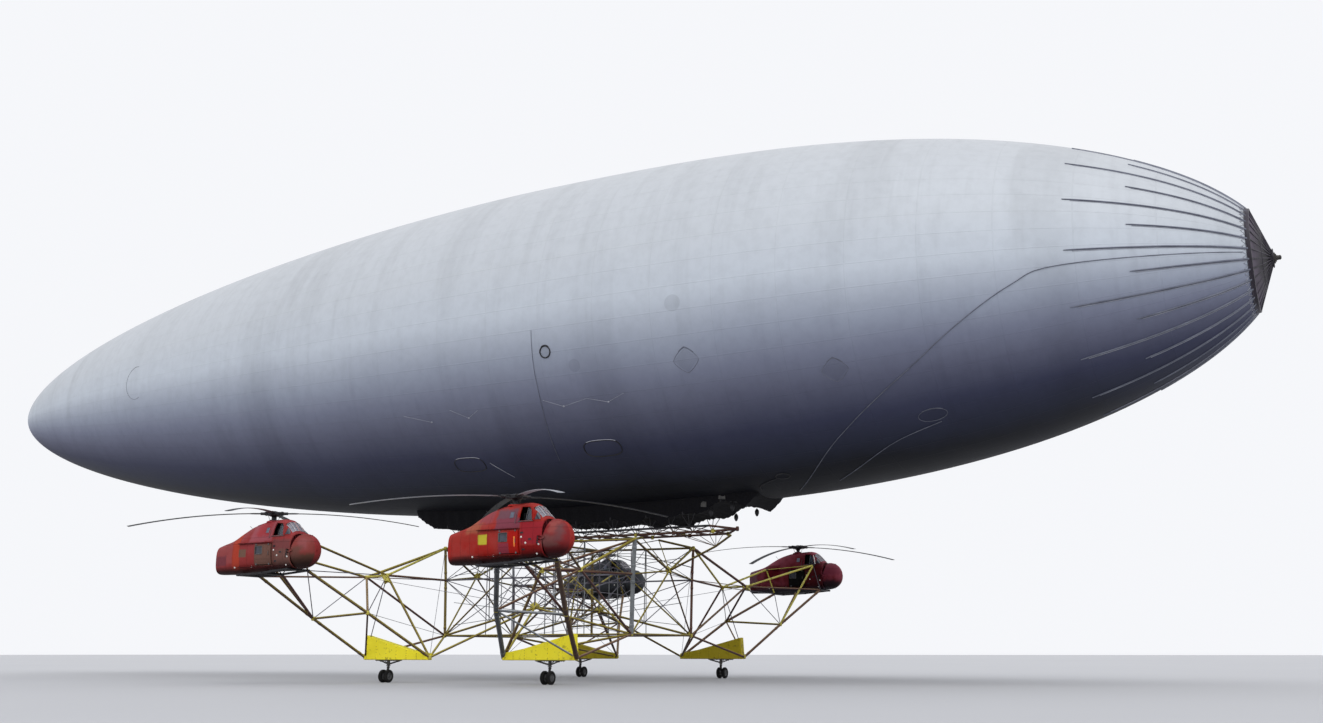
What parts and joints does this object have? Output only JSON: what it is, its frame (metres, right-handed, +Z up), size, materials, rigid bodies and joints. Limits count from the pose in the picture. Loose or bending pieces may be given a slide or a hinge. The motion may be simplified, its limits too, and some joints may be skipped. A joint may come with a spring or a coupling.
{
  "type": "hybrid airship scale model",
  "caption": "Hybrid airship: helium envelope over an open tube frame that carries helicopter fuselages with lifting rotors, standing on twin-wheel casters.",
  "frame": {"origin": "on the ground, under the middle of the bounding box", "axes": "+X to the airship's nose, +Y to port, +Z up"},
  "size_m": [10.45, 5.2618, 3.4052],
  "materials": {
    "silver_fabric": "aluminised coated fabric, satin, with faint gore seams",
    "dark_cone": "satin dark grey",
    "spindle_steel": "machined",
    "batten_alloy": "dull bare metal",
    "dark_fabric": "matt dark cloth",
    "bare_tube": "dull bare tube",
    "yellow_tube": "faded yellow paint, worn",
    "yellow_panel": "yellow paint, satin",
    "gear_steel": "oily bare steel",
    "tyre": "black rubber with grey wheel discs",
    "helicopter_red": "faded red paint with olive patches",
    "helicopter_bright_red": "bright red paint with faded nose",
    "helicopter_dark_red": "dark red paint",
    "helicopter_grey": "grey olive paint",
    "window_glass": "clear acrylic, slightly dusty",
    "engine_alloy": "oily cast alloy",
    "rotor_blade": "dark grey paint, worn"
  },
  "bodies": {
    "airship": {"envelope": "silver_fabric", "nose_cone": "dark_cone", "mooring_spindle": "spindle_steel", "nose_battens": "batten_alloy", "keel_curtain": "dark_fabric", "keel_girder": "bare_tube", "centre_frame": "yellow_tube", "outrigger_front_starboard": "yellow_tube", "side_panel_front_starboard": "yellow_panel", "gear_leg_front_starboard": "gear_steel", "fuselage_front_starboard": "helicopter_bright_red", "cockpit_glass_front_starboard": "window_glass", "engine_front_starboard": "engine_alloy", "outrigger_front_port": "yellow_tube", "side_panel_front_port": "yellow_panel", "gear_leg_front_port": "gear_steel", "fuselage_front_port": "helicopter_dark_red", "cockpit_glass_front_port": "window_glass", "engine_front_port": "engine_alloy", "outrigger_rear_starboard": "yellow_tube", "side_panel_rear_starboard": "yellow_panel", "gear_leg_rear_starboard": "gear_steel", "fuselage_rear_starboard": "helicopter_red", "cockpit_glass_rear_starboard": "window_glass", "engine_rear_starboard": "engine_alloy", "outrigger_rear_port": "yellow_tube", "side_panel_rear_port": "yellow_panel", "gear_leg_rear_port": "gear_steel", "fuselage_rear_port": "helicopter_grey", "cockpit_glass_rear_port": "window_glass", "engine_rear_port": "engine_alloy"},
    "caster_fork_front_starboard": {"caster_fork_front_starboard": "gear_steel"},
    "twin_wheels_front_starboard": {"twin_wheels_front_starboard": "tyre"},
    "cargo_door_front_starboard": {"cargo_door_front_starboard": "helicopter_bright_red"},
    "nose_door_starboard_front_starboard": {"nose_door_starboard_front_starboard": "helicopter_bright_red"},
    "nose_door_port_front_starboard": {"nose_door_port_front_starboard": "helicopter_bright_red"},
    "rotor_front_starboard": {"rotor_front_starboard": "rotor_blade"},
    "caster_fork_front_port": {"caster_fork_front_port": "gear_steel"},
    "twin_wheels_front_port": {"twin_wheels_front_port": "tyre"},
    "cargo_door_front_port": {"cargo_door_front_port": "helicopter_dark_red"},
    "nose_door_starboard_front_port": {"nose_door_starboard_front_port": "helicopter_dark_red"},
    "nose_door_port_front_port": {"nose_door_port_front_port": "helicopter_dark_red"},
    "rotor_front_port": {"rotor_front_port": "rotor_blade"},
    "caster_fork_rear_starboard": {"caster_fork_rear_starboard": "gear_steel"},
    "twin_wheels_rear_starboard": {"twin_wheels_rear_starboard": "tyre"},
    "cargo_door_rear_starboard": {"cargo_door_rear_starboard": "helicopter_red"},
    "nose_door_starboard_rear_starboard": {"nose_door_starboard_rear_starboard": "helicopter_red"},
    "nose_door_port_rear_starboard": {"nose_door_port_rear_starboard": "helicopter_red"},
    "rotor_rear_starboard": {"rotor_rear_starboard": "rotor_blade"},
    "caster_fork_rear_port": {"caster_fork_rear_port": "gear_steel"},
    "twin_wheels_rear_port": {"twin_wheels_rear_port": "tyre"},
    "cargo_door_rear_port": {"cargo_door_rear_port": "helicopter_grey"},
    "nose_door_starboard_rear_port": {"nose_door_starboard_rear_port": "helicopter_grey"},
    "nose_door_port_rear_port": {"nose_door_port_rear_port": "helicopter_grey"},
    "rotor_rear_port": {"rotor_rear_port": "rotor_blade"}
  },
  "joints": [
    {"name": "caster_swivel_front_starboard", "type": "hinge", "parent": "airship", "child": "caster_fork_front_starboard", "pos_m": [1.28, -1.1, 0.1], "axis": [0, 0, 1], "continuous": true},
    {"name": "wheel_roll_front_starboard", "type": "hinge", "parent": "caster_fork_front_starboard", "child": "twin_wheels_front_starboard", "pos_m": [1.28, -1.12, 0.039], "axis": [1, 0, 0], "continuous": true},
    {"name": "rotor_spin_front_starboard", "type": "hinge", "parent": "airship", "child": "rotor_front_starboard", "pos_m": [1.57, -1.882, 0.98], "axis": [0, 0, 1], "continuous": true},
    {"name": "cargo_door_slide_front_starboard", "type": "slide", "parent": "airship", "child": "cargo_door_front_starboard", "axis": [-1, 0, 0], "range_m": [0, 0.13]},
    {"name": "nose_door_port_hinge_front_starboard", "type": "hinge", "parent": "airship", "child": "nose_door_port_front_starboard", "pos_m": [1.807, -1.788, 0.75], "axis": [0, 0, 1], "range_deg": [0, 90]},
    {"name": "nose_door_starboard_hinge_front_starboard", "type": "hinge", "parent": "airship", "child": "nose_door_starboard_front_starboard", "pos_m": [1.807, -1.976, 0.75], "axis": [0, 0, -1], "range_deg": [0, 90]},
    {"name": "caster_swivel_front_port", "type": "hinge", "parent": "airship", "child": "caster_fork_front_port", "pos_m": [1.28, 1.1, 0.1], "axis": [0, 0, 1], "continuous": true},
    {"name": "wheel_roll_front_port", "type": "hinge", "parent": "caster_fork_front_port", "child": "twin_wheels_front_port", "pos_m": [1.28, 1.12, 0.039], "axis": [1, 0, 0], "continuous": true},
    {"name": "rotor_spin_front_port", "type": "hinge", "parent": "airship", "child": "rotor_front_port", "pos_m": [1.57, 1.882, 0.98], "axis": [0, 0, 1], "continuous": true},
    {"name": "cargo_door_slide_front_port", "type": "slide", "parent": "airship", "child": "cargo_door_front_port", "axis": [-1, 0, 0], "range_m": [0, 0.13]},
    {"name": "nose_door_port_hinge_front_port", "type": "hinge", "parent": "airship", "child": "nose_door_port_front_port", "pos_m": [1.807, 1.976, 0.75], "axis": [0, 0, 1], "range_deg": [0, 90]},
    {"name": "nose_door_starboard_hinge_front_port", "type": "hinge", "parent": "airship", "child": "nose_door_starboard_front_port", "pos_m": [1.807, 1.788, 0.75], "axis": [0, 0, -1], "range_deg": [0, 90]},
    {"name": "caster_swivel_rear_starboard", "type": "hinge", "parent": "airship", "child": "caster_fork_rear_starboard", "pos_m": [0.08, -1.1, 0.1], "axis": [0, 0, 1], "continuous": true},
    {"name": "wheel_roll_rear_starboard", "type": "hinge", "parent": "caster_fork_rear_starboard", "child": "twin_wheels_rear_starboard", "pos_m": [0.08, -1.12, 0.039], "axis": [1, 0, 0], "continuous": true},
    {"name": "rotor_spin_rear_starboard", "type": "hinge", "parent": "airship", "child": "rotor_rear_starboard", "pos_m": [-0.17, -1.882, 0.98], "axis": [0, 0, 1], "continuous": true},
    {"name": "cargo_door_slide_rear_starboard", "type": "slide", "parent": "airship", "child": "cargo_door_rear_starboard", "axis": [-1, 0, 0], "range_m": [0, 0.13]},
    {"name": "nose_door_port_hinge_rear_starboard", "type": "hinge", "parent": "airship", "child": "nose_door_port_rear_starboard", "pos_m": [0.067, -1.788, 0.75], "axis": [0, 0, 1], "range_deg": [0, 90]},
    {"name": "nose_door_starboard_hinge_rear_starboard", "type": "hinge", "parent": "airship", "child": "nose_door_starboard_rear_starboard", "pos_m": [0.067, -1.976, 0.75], "axis": [0, 0, -1], "range_deg": [0, 90]},
    {"name": "caster_swivel_rear_port", "type": "hinge", "parent": "airship", "child": "caster_fork_rear_port", "pos_m": [0.08, 1.1, 0.1], "axis": [0, 0, 1], "continuous": true},
    {"name": "wheel_roll_rear_port", "type": "hinge", "parent": "caster_fork_rear_port", "child": "twin_wheels_rear_port", "pos_m": [0.08, 1.12, 0.039], "axis": [1, 0, 0], "continuous": true},
    {"name": "rotor_spin_rear_port", "type": "hinge", "parent": "airship", "child": "rotor_rear_port", "pos_m": [-0.17, 1.882, 0.98], "axis": [0, 0, 1], "continuous": true},
    {"name": "cargo_door_slide_rear_port", "type": "slide", "parent": "airship", "child": "cargo_door_rear_port", "axis": [-1, 0, 0], "range_m": [0, 0.13]},
    {"name": "nose_door_port_hinge_rear_port", "type": "hinge", "parent": "airship", "child": "nose_door_port_rear_port", "pos_m": [0.067, 1.976, 0.75], "axis": [0, 0, 1], "range_deg": [0, 90]},
    {"name": "nose_door_starboard_hinge_rear_port", "type": "hinge", "parent": "airship", "child": "nose_door_starboard_rear_port", "pos_m": [0.067, 1.788, 0.75], "axis": [0, 0, -1], "range_deg": [0, 90]}
  ]
}
